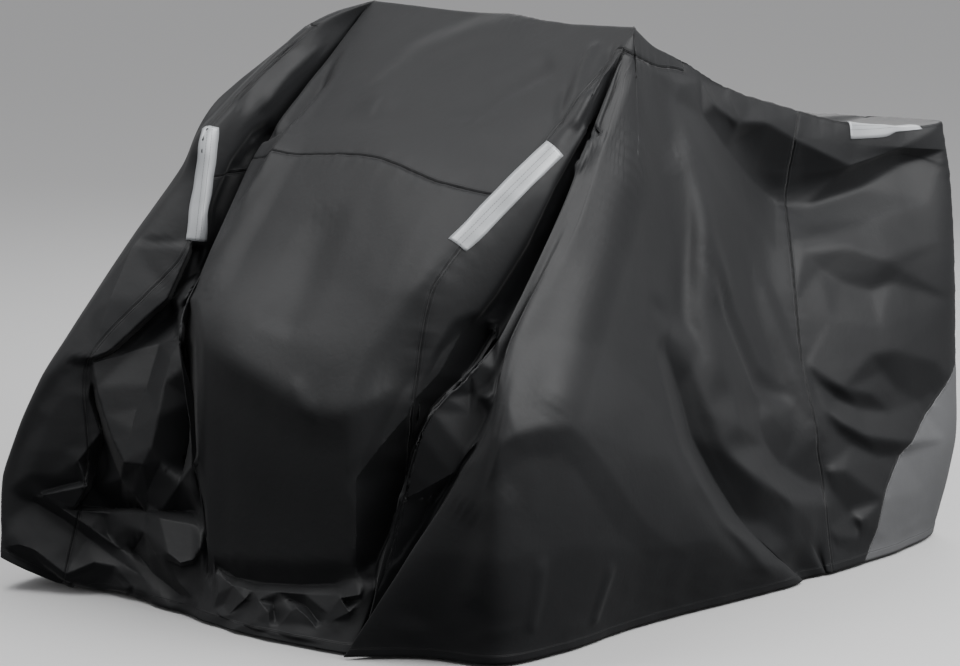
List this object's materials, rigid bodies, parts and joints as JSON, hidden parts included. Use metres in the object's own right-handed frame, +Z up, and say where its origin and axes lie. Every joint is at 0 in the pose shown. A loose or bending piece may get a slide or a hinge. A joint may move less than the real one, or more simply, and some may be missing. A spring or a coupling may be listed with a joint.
{
  "type": "all-terrain vehicle cover",
  "caption": "Fitted weather cover draped in loose folds over a quad bike shape, hollow and open below, with reflective strips and a grey lower rear panel.",
  "frame": {"origin": "middle of the floor area under the cover's bounding box, at the height of its lowest hem", "axes": "+Z up, -Y towards the covered vehicle's front, +X towards its left side"},
  "size_m": [1.3208, 1.8428, 1.1842],
  "materials": {
    "black_cloth": "black coated plain-weave polyester, semi-gloss",
    "grey_cloth": "mid grey coated plain-weave polyester, semi-gloss",
    "reflective_tape": "pale silver-grey reflective tape, smooth"
  },
  "bodies": {
    "root": {"top_panel": "black_cloth", "hood_panel": "black_cloth", "front_left_panel": "black_cloth", "front_right_panel": "black_cloth", "rear_left_panel": "black_cloth", "tail_panel": "black_cloth", "rear_right_panel": "black_cloth", "grey_panel": "grey_cloth", "front_left_strip": "reflective_tape", "front_right_strip": "reflective_tape", "rear_left_strip": "reflective_tape", "rear_right_strip": "reflective_tape"}
  },
  "joints": []
}
